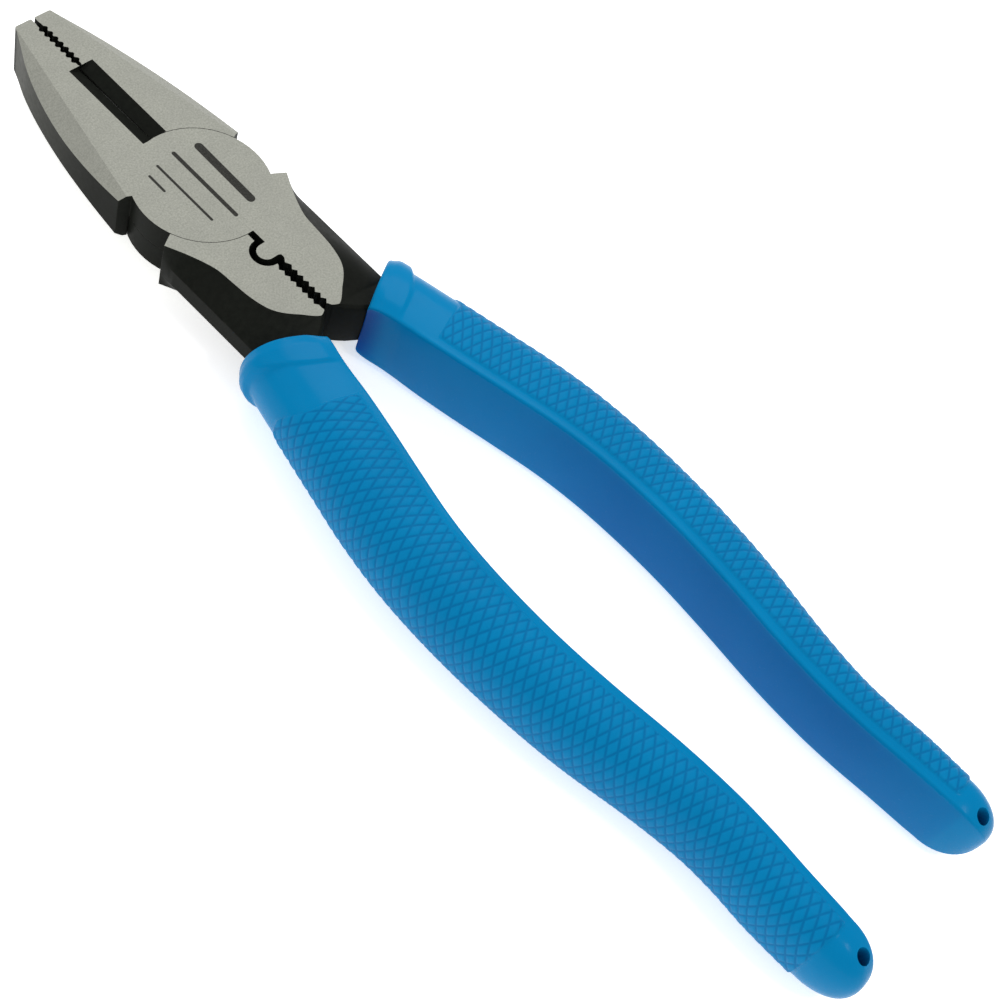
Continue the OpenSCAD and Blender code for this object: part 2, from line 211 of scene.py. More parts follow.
def forging_material(name, marked):
    """Bare ground faces, black oxide elsewhere; `marked` adds the hub strokes on the +Z face."""
    t = Tree(name)
    obj = t.new("ShaderNodeTexCoord").outputs["Object"]
    metres = t.split(obj)
    x, y, z = [t.mul(metres[i], 1000.0) for i in range(3)]
    geo = t.new("ShaderNodeNewGeometry")
    to_object = t.new("ShaderNodeVectorTransform", vector_type="NORMAL",
                      convert_from="WORLD", convert_to="OBJECT")
    t.link(geo.outputs["True Normal"], to_object.inputs[0])
    up = t.math("ABSOLUTE", t.split(to_object.outputs[0])[2])
    mid_z = t.math("ABSOLUTE", t.sub(z, HALF_THICK))
    side_x = t.math("ABSOLUTE", x)
    flat, ground = bare_masks(t, side_x, y, mid_z, up)

    # tone of the blasted steel
    grain = t.noise(obj, scale=2700.0, detail=4.0, rough=0.75)
    fine = t.noise(obj, scale=9000.0, detail=2.0, rough=0.6)
    cloud = t.noise(obj, scale=120.0, detail=4.0, rough=0.6)
    rub = t.noise(obj, scale=420.0, detail=3.0, rough=0.6)
    bare = t.mix(t.remap(cloud, span=(0.3, 0.7)), STEEL_A, STEEL_B)
    bare = t.mix(t.remap(grain, span=(0.36, 0.64), to=(0.0, 0.62)), bare, STEEL_GRAIN)
    bare = t.mix(t.remap(rub, span=(0.45, 0.75), to=(0.0, 0.12)), bare, STEEL_RUB)
    # black oxide: a thin dull film; on the sides a painted reflection, lighter towards the nose
    mottle = t.noise(obj, scale=900.0, detail=5.0, rough=0.65)
    broad = t.noise(obj, scale=90.0, detail=3.0, rough=0.5)
    black = t.mix(t.remap(mottle, span=(0.3, 0.7)), BLACK_A, BLACK_B)
    black = t.mix(t.remap(broad, span=(0.35, 0.65), to=(0.0, 0.5)), black, BLACK_CLOUD)
    side = t.mul(t.step(up, off=0.55, on=0.35), t.step(side_x, off=4.2, on=4.7))
    # painted reflection: the side faces get lighter towards the nose
    tip_reflection = t.mul(t.remap(y, span=(12.0, 47.0)), side, clamp=True)
    black = t.mix(t.math("POWER", tip_reflection, 1.4), black, PAINTED_TIP_REFLECTION)

    # edges: rounded in shading (radius in metres), and a little lighter, partly from wear and partly
    # as a painted highlight
    bevel = t.new("ShaderNodeBevel", samples=6)
    bevel.inputs["Radius"].default_value = 0.00028
    turn = t.new("ShaderNodeVectorMath", operation="DOT_PRODUCT")
    t.link(bevel.outputs[0], turn.inputs[0])
    t.link(geo.outputs["Normal"], turn.inputs[1])
    edge = t.remap(turn.outputs["Value"], span=(0.995, 0.90))
    patchy = t.mul(edge, t.remap(rub, span=(0.35, 0.6), to=(0.25, 1.0)))
    wear_and_highlight_amount = 0.30
    # lighter edges: partly wear, partly a painted highlight
    black = t.mix(t.mul(patchy, wear_and_highlight_amount, clamp=True), black, WEAR_AND_HIGHLIGHT)
    colour = t.mix(ground, black, bare)
    bright = ground
    if marked:
        upper = t.step(z, off=HALF_THICK, on=HALF_THICK + 1.0)
        mark = t.mul(t.mul(hub_marks(t, x, y), flat), upper)
        etched = t.mul(mark, t.remap(grain, span=(0.3, 0.7), to=(0.88, 1.0)))
        colour = t.mix(etched, colour, ETCH)
        bright = t.sub(ground, mark, clamp=True)

    shader = t.new("ShaderNodeBsdfPrincipled")
    t.feed(shader, {"Base Color": colour,
                    "Metallic": t.mixf(bright, 0.0, 0.28),
                    "Specular IOR Level": t.mixf(bright, 0.03, 0.3)})
    rough_bare = t.remap(grain, span=(0.3, 0.7), to=(0.50, 0.64))
    rough_black = t.remap(mottle, span=(0.3, 0.7), to=(0.40, 0.54))
    t.feed(shader, {"Roughness": t.mixf(ground, rough_black, rough_bare)})
    # relief, in shares of the bump distance (metres)
    mottle_relief, fine_relief, etch_depth = 1.5, 0.6, 1.2
    bump = t.new("ShaderNodeBump")
    t.feed(bump, {"Strength": 0.55, "Distance": 0.00002})
    height = t.mixf(ground, t.mul(mottle, mottle_relief), t.add(grain, t.mul(fine, fine_relief)))
    if marked:
        height = t.sub(height, t.mul(mark, etch_depth))
    t.link(height, bump.inputs["Height"])
    # ground faces keep crisp edges; the forged skin is rounded in shading
    t.link(t.mixv(ground, bevel.outputs[0], geo.outputs["Normal"]), bump.inputs["Normal"])
    t.link(bump.outputs[0], shader.inputs["Normal"])
    return t.finish(shader)


WELD_DISTANCE = 2e-6     # metres
CREASE_ANGLE = math.radians(24)
PLANE_NORMAL_Z = 0.9996  # a face with a larger |normal z| belongs to a ground plane


def crease_group():
    """Modifier tree: weld the triangles, then shade smooth below a crease angle.
    Edges of the flat ground planes stay crisp."""
    group = bpy.data.node_groups.new("weld_and_crease", "GeometryNodeTree")
    for in_out in ("INPUT", "OUTPUT"):
        group.interface.new_socket("Geometry", in_out=in_out, socket_type="NodeSocketGeometry")
    new, link = group.nodes.new, group.links.new

    def math_node(op, source, *constants):
        node = new("ShaderNodeMath")
        node.operation = op
        for socket, value in zip(node.inputs[1:], constants):
            socket.default_value = value
        link(source, node.inputs[0])
        return node

    def shade(domain, geometry, smooth):
        node = new("GeometryNodeSetShadeSmooth")
        node.domain = domain
        link(geometry, node.inputs["Geometry"])
        node.inputs["Shade Smooth"].default_value = smooth
        return node

    start, end = new("NodeGroupInput"), new("NodeGroupOutput")
    weld = new("GeometryNodeMergeByDistance")
    weld.inputs["Distance"].default_value = WELD_DISTANCE
    link(start.outputs[0], weld.inputs["Geometry"])
    normal = new("GeometryNodeInputNormal")
    parts = new("ShaderNodeSeparateXYZ")
    link(normal.outputs[0], parts.inputs[0])
    up = math_node("ABSOLUTE", parts.outputs[2])
    is_plane = math_node("GREATER_THAN", up.outputs[0], PLANE_NORMAL_Z)
    capture = new("GeometryNodeCaptureAttribute")
    capture.domain = "FACE"
    capture.capture_items.new("FLOAT", "plane")
    link(weld.outputs[0], capture.inputs[0])
    link(is_plane.outputs[0], capture.inputs[1])
    smooth = shade("FACE", capture.outputs[0], True)
    angle = new("GeometryNodeInputMeshEdgeAngle")
    creased = math_node("GREATER_THAN", angle.outputs[0], CREASE_ANGLE)
    # the face value averages to 0.5 on an edge between a ground plane and anything else
    border = math_node("COMPARE", capture.outputs[1], 0.5, 0.3)
    either = math_node("MAXIMUM", creased.outputs[0])
    link(border.outputs[0], either.inputs[1])
    sharp = shade("EDGE", smooth.outputs[0], False)
    link(either.outputs[0], sharp.inputs["Selection"])
    link(sharp.outputs[0], end.inputs[0])
    return group


front_mat = forging_material("forging_front", marked=True)
rear_mat = forging_material("forging_rear", marked=False)
rivet_mat = forging_material("rivet_steel", marked=True)
crease = crease_group()
for node_name, steel in (("front_half", front_mat), ("rear_half", rear_mat),
                         ("pivot_rivet", rivet_mat)):
    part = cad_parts[node_name]
    part.data.materials.clear()
    part.data.materials.append(steel)
    part.modifiers.new("weld_and_crease", "NODES").node_group = crease

# ---------------------------------------------------------------- sleeve outside
# The right sleeve is built about z = 0 and lifted to mid thickness at the end.
# A section is a tilted plane: u runs from the inner side (near x = 0) outward, z is height.
# v is the length along the section from its outermost point, s the length along the sleeve.

# y and x of the inner side, x of the outer side, rise in y from inner to outer
GRIP = [[-37.9, 5.0, 18.2, 6.9], [-43.5, 6.7, 19.8, 6.4], [-51, 8.2, 22.0, 4.6],
        [-60, 10.2, 24.4, 3.2], [-67.5, 12.0, 26.3, 2.4], [-77, 14.1, 27.9, 1.7],
        [-86, 15.3, 28.6, 0.7], [-96, 15.8, 28.6, -0.2], [-106, 15.7, 28.0, -1.0],
        [-117, 14.9, 26.7, -1.6], [-131, 13.5, 24.1, -1.3], [-142, 13.0, 22.7, -0.5],
        [-150, 13.2, 22.6, 0.2], [-158, 13.8, 23.1, 0.5], [-168, 14.4, 23.0, 0]]
# y, scale of the section's height
SWELL = [[-38, 0.94], [-60, 1], [-95, 1.01], [-130, 0.98], [-168, 0.95], [-177, 0.95]]
RIDGE, CROWN = 8.0, 8.6     # half heights at the inner corner (ridge) and at the crown
CROWN_AT = 0.4              # u of the crown, share of the width
CORNER_U, CORNER_Z = 0.55, 0.945  # where the ridge's rounding starts (u) and ends (z share)
HOLLOW, BULGE = 0.65, 0.4   # inner side: sunk at the mouth, bulging beyond HOLLOW_LENGTH
HOLLOW_LENGTH = 7.0
MOUTH, END_Y, ROUND_END = -37.9, -168.0, 8.5  # open end, start and length of the rounded end
TEX_START, TEX_END, TEX_H = -51.0, -167.4, 0.35
TEX_FADE = 0.35
KNURL_S, KNURL_V = 2.05, 4.0   # diamond pitch along and around
KNURL_K = math.hypot(1 / KNURL_S, 1 / KNURL_V)
GROOVE_TOP, GROOVE_FLOOR = 0.40, 0.08  # half widths of a groove
STRIP = 1.75                # plain strip beside the ridge
LIP_H = 0.9
LIP_END, LIP_SHORTER = 5.9, 2.3  # depth of the lip's end, and how much less on the outside
MOUTH_ROUND, MOUTH_DROP = 3.4, 1.3  # rounding of the ridge at the mouth: length and drop
BEAD_H, BEAD_IN, BEAD_WIDTH = 0.13, 0.25, 0.42  # bead just outside the ridge

# sample counts of the dense section: outer arc, crown, ridge corner, inner side
ARC_N, CROWN_N, CORNER_N, FLAT_N = 90, 40, 12, 30
RIDGE_INDEX = ARC_N + CROWN_N - 1 + (CORNER_N - 1) // 2
# mesh steps around: knurl, strip, corner, inner side; the corner's reach before and after
KNURL_STEPS, STRIP_STEPS, CORNER_STEPS, FLAT_STEPS = 56, 6, 6, 6
CORNER_BEFORE, CORNER_AFTER = 0.55, 0.75
# rings at the mouth: depth behind it, inset of the surface
MOUTH_ROWS = [(0, 0.5), (0.05, 0.3), (0.15, 0.14), (0.4, 0)]
MOUTH_ROWS += [(0.4 + 0.3 * k, 0) for k in range(1, 31)]
RINGS_PER_DIAMOND = 9


def curve(table, y, column):
    """Smooth cubic through one column of a table whose first column is a falling y."""
    last = len(table) - 1
    i = 0
    while i < last - 1 and y <= table[i + 1][0]:
        i += 1
    h = table[i + 1][0] - table[i][0]
    s = (y - table[i][0]) / h

    def slope(k):
        before, after = table[max(k - 1, 0)], table[min(k + 1, last)]
        return (after[column] - before[column]) / (after[0] - before[0])
    a, b = table[i][column], table[i + 1][column]
    slope_a, slope_b = slope(i) * h, slope(i + 1) * h
    return (a * (1 + 2 * s) * (1 - s) ** 2 + slope_a * s * (1 - s) ** 2
            + b * s * s * (3 - 2 * s) + slope_b * s * s * (s - 1))


def fade(x, start, length):
    """Smooth rise from 0 at start to 1 a length further on."""
    x = np.clip((x - start) / length, 0.0, 1.0)
    return x * x * (3 - 2 * x)


def frame_at(y):
    """Section at y: inner x, width, and the direction of u in x and y."""
    inner, outer, rise = (curve(GRIP, y, column) for column in (1, 2, 3))
    width = math.hypot(outer - inner, rise)
    return inner, width, (outer - inner) / width, rise / width


def base_section(y, inset):
    """Dense half section (z >= 0) from the outermost point (v = 0) over the crown and the
    ridge to the middle of the inner side: rows of (u, z), their v, and v at the ridge."""
    width = frame_at(y)[1]
    swell = curve(SWELL, y, 1)
    crown_u, ridge_z, crown_z = CROWN_AT * width, RIDGE * swell, CROWN * swell
    at_mouth = min(1.0, max(0.0, 1 - (MOUTH - y) / HOLLOW_LENGTH))
    hollow = HOLLOW * at_mouth
    grow = -inset
    superellipse = 0.9
    inner_share = 0.35      # share of the inset applied to the inner side

    def crown_height(q):
        return ridge_z + (crown_z - ridge_z) * (1 - (1 - q) ** 2)

    def flat_u(q):
        return hollow * (1 - q * q) - BULGE * (1 - q * q) * (1 - at_mouth) - grow * inner_share

    a = np.radians(np.linspace(0, 90, ARC_N))
    arc = np.c_[crown_u + (width - crown_u + grow) * np.cos(a) ** superellipse,
                (crown_z + grow) * np.sin(a) ** superellipse]
    s = np.linspace(1, CORNER_U / crown_u, CROWN_N)[1:]
    crown = np.c_[s * crown_u, crown_height(s) + grow]
    # ridge corner: quadratic from the crown to the inner side
    start = np.array([CORNER_U, crown_height(CORNER_U / crown_u) + grow])
    end = np.array([flat_u(CORNER_Z), CORNER_Z * (ridge_z + grow)])
    pull = np.array([flat_u(1.0), ridge_z + grow])
    k = np.linspace(0, 1, CORNER_N)[1:, None]
    corner = (1 - k) ** 2 * start + 2 * k * (1 - k) * pull + k ** 2 * end
    q = np.linspace(CORNER_Z, 0, FLAT_N)[1:]
    flat = np.c_[flat_u(q), q * (ridge_z + grow)]
    points = np.vstack([arc, crown, corner, flat])
    length = np.r_[0, np.cumsum(np.linalg.norm(np.diff(points, axis=0), axis=1))]
    return points, length, length[RIDGE_INDEX]


def half_v(ridge, total):
    """The v of the mesh vertices on one half section."""
    stops = (0, ridge - STRIP, ridge - CORNER_BEFORE, ridge + CORNER_AFTER)
    steps = (KNURL_STEPS, STRIP_STEPS, CORNER_STEPS)
    spans = [np.linspace(a, b, n + 1)[:-1] for a, b, n in zip(stops, stops[1:], steps)]
    return np.r_[(*spans, np.linspace(stops[-1], total, FLAT_STEPS + 1))]


def knurl(s, v):
    """Height factor 0..1 of the diamonds: 1 on a diamond, 0 in a groove."""
    height = 1.0
    for sign in (1, -1):
        phase = s / KNURL_S + sign * v / KNURL_V
        dist = np.abs(phase - np.round(phase)) / KNURL_K
        height = height * fade(dist, GROOVE_FLOOR, GROOVE_TOP - GROOVE_FLOOR)
    return height


def middle_at(y):
    inner, width, ux, uy = frame_at(y)
    return inner + width * 0.5 * ux, y + width * 0.5 * uy


# length along the middle of the sleeve, zero at the start of the texture
path_y = np.linspace(MOUTH, END_Y, 2600)
path = np.array([middle_at(y) for y in path_y])
path_s = np.r_[0, np.cumsum(np.linalg.norm(np.diff(path, axis=0), axis=1))]
path_s -= np.interp(-TEX_START, -path_y, path_s)


def s_of_y(y):
    return float(np.interp(-y, -path_y, path_s))


def y_of_s(s):
    return float(-np.interp(s, path_s, -path_y))


def both_halves(half, sign=1):
    """Closed ring from a half section: inner middle, +Z side, outermost point, -Z side."""
    return np.r_[half[::-1], sign * half[1:-1]]


def ring(y, s, inset=0):
    """One ring of the sleeve surface and its (along, around, texture, shade) values."""
    inner, _, ux, uy = frame_at(y)
    points, length, ridge = base_section(y, inset)
    v = half_v(ridge, length[-1])

    def at(where, column):
        return np.interp(where, length, points[:, column])
    u, z = at(v, 0), at(v, 1)
    # surface normals
    dv = 0.02
    tangent_u = at(v + dv, 0) - at(v - dv, 0)
    tangent_z = at(v + dv, 1) - at(v - dv, 1)
    norm = np.hypot(tangent_u, tangent_z)
    normal_u, normal_z = tangent_z / norm, -tangent_u / norm
    normal_u[0], normal_z[0] = 1.0, 0.0
    normal_u[-1], normal_z[-1] = -1.0, 0.0

    # raised lip at the mouth, highest on the outside and gone at the ridge
    depth = MOUTH - y
    f = v / ridge
    lip_share = np.where(f < 0.85, 1 - 0.62 * fade(f, start=0.2, length=0.4),
                         0.38 * (1 - fade(f, start=0.85, length=0.15)))
    lip_end = LIP_END - LIP_SHORTER * (1 - fade(f, start=0, length=0.75))
    lip = (LIP_H * fade(depth, start=0.1, length=2.2)
           * (1 - fade(depth - lip_end, start=-0.5, length=0.75)))
    # the mouth corner at both ridges is rounded over
    k = min(1.0, depth / MOUTH_ROUND)
    drop = MOUTH_DROP * (1 - math.sqrt(1 - (1 - k) ** 2))
    z = z * (1 - drop / RIDGE * fade(f, start=0.75, length=0.25))

    # textured area, starting earlier on the outside
    s_end = s_of_y(TEX_END)
    s_start = -2.7 * (1 - fade(f, start=0.05, length=0.42))
    texture = (fade(s, s_start, TEX_FADE) * fade(s_end - s, 0, TEX_FADE)
               * fade(ridge - STRIP - v, start=-0.15, length=0.7))
    bead_on = fade(s, start=-6, length=8) * fade(s_end + 1 - s, start=0, length=3)
    bead = BEAD_H * np.exp(-((v - ridge + BEAD_IN) / BEAD_WIDTH) ** 2) * bead_on
    floor_share, diamond_share = 0.60, 0.35  # of the texture height
    height = TEX_H * texture * (floor_share + diamond_share * knurl(s, v)) + lip * lip_share + bead

    # painted shade on the inner side: darker close to the mouth and along the deep middle
    near = fade(5.0 - depth, start=0, length=5.0)
    deep = fade(depth, start=15.0, length=45.0) * (1.0 - 0.6 * fade(depth, start=105.0, length=30.0))
    shade = fade(v - ridge, start=0.1, length=0.9) * (0.04 + 0.44 * deep + 0.92 * near)

    u = both_halves(u + normal_u * height)
    z = both_halves(z + normal_z * height, -1)
    values = np.c_[np.full(len(u), s), both_halves(v, -1), both_halves(texture),
                   both_halves(shade)]
    return np.c_[inner + u * ux, y + u * uy, z], values


def outer_rings():
    """Rings from the mouth to END_Y, and their values."""
    rings = [ring(MOUTH - depth, s_of_y(MOUTH - depth), inset) for depth, inset in MOUTH_ROWS]
    step = KNURL_S / RINGS_PER_DIAMOND
    first = math.ceil(s_of_y(MOUTH - MOUTH_ROWS[-1][0]) / step) + 1
    last = math.floor(s_of_y(TEX_END - 0.15) / step)
    rings += [ring(y_of_s(k * step), k * step) for k in range(first, last + 1)]
    rings.append(ring(END_Y, s_of_y(END_Y)))
    return zip(*rings)


# ---------------------------------------------------------------- sleeve cavity
# The steel neck and tang, grown by GAP.
GAP = 0.06
SIDE = 1.9    # half height of the neck's outer side
NECK_Y, NECK_SHAPE = -30.5, (0.7, 0.75, 6.23, HALF_THICK, 15)
# y, x of the inner wall, x where the top face starts, half height, x of the outer side,
# lean (rise in y per mm of x)
ROOT = [[-33, 0.75, 0.8, 5.55, 15, 0], [-33.2, 0.88, 1.0, 5.55, 15, 0],
        [-33.4, 1.02, 1.3, 5.55, 15, 0], [-33.6, 1.18, 1.7, 5.55, 15, 0],
        [-33.75, 1.32, 2.1, 5.55, 15, 0], [-34.2, 1.75, 2.75, 5.5, 15.05, 0.01],
        [-35, 2.5, 3.6, 5.42, 15.1, 0.05], [-36, 3.6, 4.8, 5.34, 15.15, 0.11],
        [-37, 5.1, 6.3, 5.26, 15.2, 0.18], [-38, 6.7, 7.9, 5.15, 15.25, 0.25],
        [-39, 7.7, 8.9, 5.05, 15.3, 0.31], [-40.5, 8.4, 9.7, 4.9, 15.35, 0.38],
        [-42.5, 8.9, 10.2, 4.75, 15.4, 0.42]]
# y, x where the top face ends; used above FACE_LIMIT
FACE_END = [[-32.9, 3.55], [-33, 3.42], [-33.2, 3.17], [-33.4, 2.9], [-33.6, 2.57], [-33.75, 2.25]]
FACE_LIMIT, FACE_MIN = -33.8, 0.12
TANG_START, TANG_END, TANG_STEPS = -46.5, -156.0, 20
INNER_WALL, BOTH_WALLS = 1.8, 5.6            # sleeve wall beside the tang
TANG_HALF_Z, TANG_THINNER, TANG_NARROWER = 4.7, 1.3, 0.14  # half height and its tapers
CAVITY_LOOPS = 40


def neck_ring(y, wall, face, face_end, half_z, side, lean=0):
    straight = 1 - 0.62 * min(1, max(0, (-y - 19) / 14))
    top = half_z + GAP
    upper = [[wall - GAP, half_z - 1.1],
             [wall + 0.3 * (face - wall) - GAP * 0.8, half_z - 0.35 + GAP * 0.5],
             [face, top], [face_end, top]]
    for i in range(1, 6):
        s = i / 6
        fall = straight * s + (1 - straight) * s ** 3
        upper.append([face_end + (side + GAP - face_end) * s, top - (top - SIDE) * fall])
    upper.append([side + GAP, SIDE])
    full = upper + [[x, -z] for x, z in reversed(upper)]
    return [[x, y + lean * (x - wall), z] for x, z in full]


def tang_ring(k):
    """Rounded section at the share k of the tang's length."""
    y = TANG_START + (TANG_END - TANG_START) * k
    inner, width, ux, uy = frame_at(y)
    half_u = (width - BOTH_WALLS) / 2
    centre = INNER_WALL + half_u
    half_z = TANG_HALF_Z - TANG_THINNER * k
    half_u = half_u * (1 - TANG_NARROWER * k)
    points = []
    for i in range(20):
        angle = math.radians(i * 18 + 9)
        c, s = math.cos(angle), math.sin(angle)
        u = (half_u + GAP) * math.copysign(abs(c) ** 0.72, c)
        z = (half_z + GAP) * math.copysign(abs(s) ** 0.72, s)
        points.append([inner + centre * ux - u * ux, y + centre * uy - u * uy, z])
    return points


def cavity_rows():
    rows = [neck_ring(NECK_Y, *NECK_SHAPE)]
    for y, wall, face, half_z, side, lean in ROOT:
        face_end = curve(FACE_END, y, 1) if y > FACE_LIMIT else 0
        rows.append(neck_ring(y, wall, face, max(face_end, face + FACE_MIN), half_z, side, lean))
    for i in range(TANG_STEPS + 1):
        rows.append(tang_ring(i / TANG_STEPS + (0.002 if i == TANG_STEPS else 0)))
    return np.array(rows)


def build_cavity(mouth_ring):
    """Loops from the mouth plane to the tang's end, each with the mouth ring's vertex count."""
    rows = cavity_rows()
    count, around = rows.shape[:2]
    inner, _, ux, uy = frame_at(MOUTH)
    # where each lengthwise line crosses the tilted plane of the mouth
    off = (rows[:, :, 1] - MOUTH) - (rows[:, :, 0] - inner) * uy / ux
    start = np.zeros(around)
    for i in range(around):
        r = int(np.argmax(off[:, i] < 0))
        start[i] = r - 1 + off[r - 1, i] / (off[r - 1, i] - off[r, i])

    def at(i, row):
        r = min(int(row), count - 2)
        f = row - r
        return rows[r, i] * (1 - f) + rows[r + 1, i] * f

    def closed_loop(k):
        q = (k / CAVITY_LOOPS) ** 1.3
        loop = np.array([at(i, start[i] + (count - 1 - start[i]) * q) for i in range(around)])
        middle = (loop[0] + loop[-1]) / 2
        return np.vstack([middle, loop, middle])

    loops = [closed_loop(k) for k in range(CAVITY_LOOPS + 1)]
    # match the mouth ring's points to the first loop by direction seen from its middle
    first = loops[0]
    centre_x = (first[:, 0].min() + first[:, 0].max()) / 2

    def direction(points):
        return np.unwrap(np.arctan2(points[:, 2], -(points[:, 0] - centre_x)))
    known = direction(first)
    wanted = np.clip(direction(mouth_ring), known[0], known[-1] - 1e-6)
    index = np.arange(len(known))
    pos = np.interp(wanted, known, index)
    return [np.column_stack([np.interp(pos, index, loop[:, j]) for j in range(3)])
            for loop in loops]


# ---------------------------------------------------------------- sleeve end
END_CENTRE = 0.47    # where the end closes, share of the width
HOLE_X, HOLE_Y, HOLE_R = 17.4, -172.8, 1.35
HOLE_SEGMENTS, PIN_HALF = 48, 14


def strip_faces(a, b, n):
    """Quads between the rings that start at vertices a and b."""
    return [(a + j, b + j, b + (j + 1) % n, a + (j + 1) % n) for j in range(n)]


def temp_object(name, points, faces):
    mesh = bpy.data.meshes.new(name)
    mesh.from_pydata((points * MM).tolist(), [], faces)
    bm = bmesh.new()
    bm.from_mesh(mesh)
    bmesh.ops.recalc_face_normals(bm, faces=bm.faces)
    bm.to_mesh(mesh)
    bm.free()
    obj = bpy.data.objects.new(name, mesh)
    scene.collection.objects.link(obj)
    return obj


def end_solid(last):
    """Rounded end as a closed solid."""
    n = len(last)
    inner, width, ux, uy = frame_at(END_Y)
    cx, cy = inner + width * END_CENTRE * ux, END_Y + width * END_CENTRE * uy
    rings = [last]
    for i in range(1, 15):
        a = math.radians(i * 6.2)
        k = math.cos(a) ** 0.85
        rings.append(np.c_[cx + (last[:, 0] - cx) * k, last[:, 1] - ROUND_END * math.sin(a),
                           last[:, 2] * k])
    faces = []
    for i in range(len(rings) - 1):
        faces += strip_faces(i * n, (i + 1) * n, n)
    k = (len(rings) - 1) * n
    faces += [(k + j, len(rings) * n, k + (j + 1) % n) for j in range(n)]
    faces.append(tuple(range(n - 1, -1, -1)))
    tip = np.array([[cx, END_Y - ROUND_END, 0.0]])
    return temp_object("tmp_end", np.vstack(rings + [tip]), faces)


def hole_pin():
    n = HOLE_SEGMENTS
    points = [(HOLE_X + HOLE_R * math.cos(2 * math.pi * i / n),
               HOLE_Y + HOLE_R * math.sin(2 * math.pi * i / n), z)
              for z in (-PIN_HALF, PIN_HALF) for i in range(n)]
    faces = [(i, (i + 1) % n, n + (i + 1) % n, n + i) for i in range(n)]
    faces += [tuple(range(n - 1, -1, -1)), tuple(range(n, 2 * n))]
    return temp_object("tmp_pin", np.array(points, float), faces)


def build_end(last):
    """Rounded end with the hole cut through it, open towards the last ring."""
    end = end_solid(last)
    pin = hole_pin()
    cutter = end.modifiers.new("hole", "BOOLEAN")
    cutter.operation, cutter.solver, cutter.object = "DIFFERENCE", "EXACT", pin
    depsgraph = bpy.context.evaluated_depsgraph_get()
    cut = bpy.data.meshes.new_from_object(end.evaluated_get(depsgraph))
    bm = bmesh.new()
    bm.from_mesh(cut)
    caps = [f for f in bm.faces if all(abs(v.co.y - END_Y * MM) < 1e-7 for v in f.verts)]
    bmesh.ops.delete(bm, geom=caps, context="FACES")
    bm.verts.ensure_lookup_table()
    points = np.array([v.co[:] for v in bm.verts]) / MM
    faces = [tuple(v.index for v in f.verts) for f in bm.faces]
    bm.free()
    for obj in (end, pin):
        bpy.data.objects.remove(obj)
    return points, faces


def end_shade(points, last, last_shade):
    """Carry the last ring's shade a little way over the rounded end."""
    shade = np.zeros(len(points))
    for i, (x, y, z) in enumerate(points):
        if y > END_Y - 2.5:
            shade[i] = last_shade[int(np.argmin(np.hypot(last[:, 0] - x, last[:, 2] - z)))]
    return shade * np.clip((points[:, 1] - END_Y + 5) / 5, 0, 1)


def make_grip_mesh():
    """Right sleeve: vertices, their values, faces."""
    rings, values = outer_rings()
    last = rings[-1]
    n = len(last)
    cavity = build_cavity(rings[0])
    faces = []
    for i in range(len(rings) - 1):
        faces += strip_faces(i * n, (i + 1) * n, n)
    base = len(rings) * n
    faces += strip_faces(base, 0, n)
    for i in range(len(cavity) - 1):
        faces += strip_faces(base + (i + 1) * n, base + i * n, n)
    tail = base + (len(cavity) - 1) * n
    faces.append(tuple(tail + j for j in range(n)))
    end, end_faces = build_end(last)
    offset = tail + n
    faces += [tuple(offset + i for i in f) for f in end_faces]
    points = np.vstack([*rings, *cavity, end])
    end_values = np.c_[np.zeros((len(end), 3)), end_shade(end, last, values[-1][:, 3])]
    values = np.vstack([*values, np.zeros((len(cavity) * n, 4)), end_values])
    points[:, 2] += HALF_THICK
    return points, values, faces


SHARP_ANGLE = math.radians(48)


def grip_object(name, mirror, data):
    points, values, faces = data
    if mirror:
        points = points * (-1, 1, 1)
    mesh = bpy.data.meshes.new(name)
    mesh.from_pydata((points * MM).tolist(), [], faces)
    for i, attribute in enumerate(("along", "around", "texture", "shade")):
        layer = mesh.attributes.new(attribute, "FLOAT", "POINT")
        layer.data.foreach_set("value", values[:, i].astype(np.float32))
    bm = bmesh.new()
    bm.from_mesh(mesh)
    # join the rounded end to the last ring
    seam = [v for v in bm.verts if v.co.y < (END_Y + 0.5) * MM]
    bmesh.ops.remove_doubles(bm, verts=seam, dist=2e-7)
    bmesh.ops.recalc_face_normals(bm, faces=bm.faces)
    for f in bm.faces:
        f.smooth = True
    # crisp edges only at the hole and the mouth
    for e in bm.edges:
        if len(e.link_faces) == 2 and e.calc_face_angle() > SHARP_ANGLE:
            y = min(v.co.y for v in e.verts) / MM
            if y < END_Y or y > MOUTH - 8:
                e.smooth = False
    bm.to_mesh(mesh)
    bm.free()
    obj = bpy.data.objects.new(name, mesh)
    scene.collection.objects.link(obj)
    return obj


BLUE_A, BLUE_B = rgb(0, 121, 175), rgb(0, 127, 182)
BLUE_GROOVE_SHADE, BLUE_INNER_SHADE = rgb(0, 88, 144), rgb(0, 73, 152)  # painted shade in the grooves, painted shade on the inner side
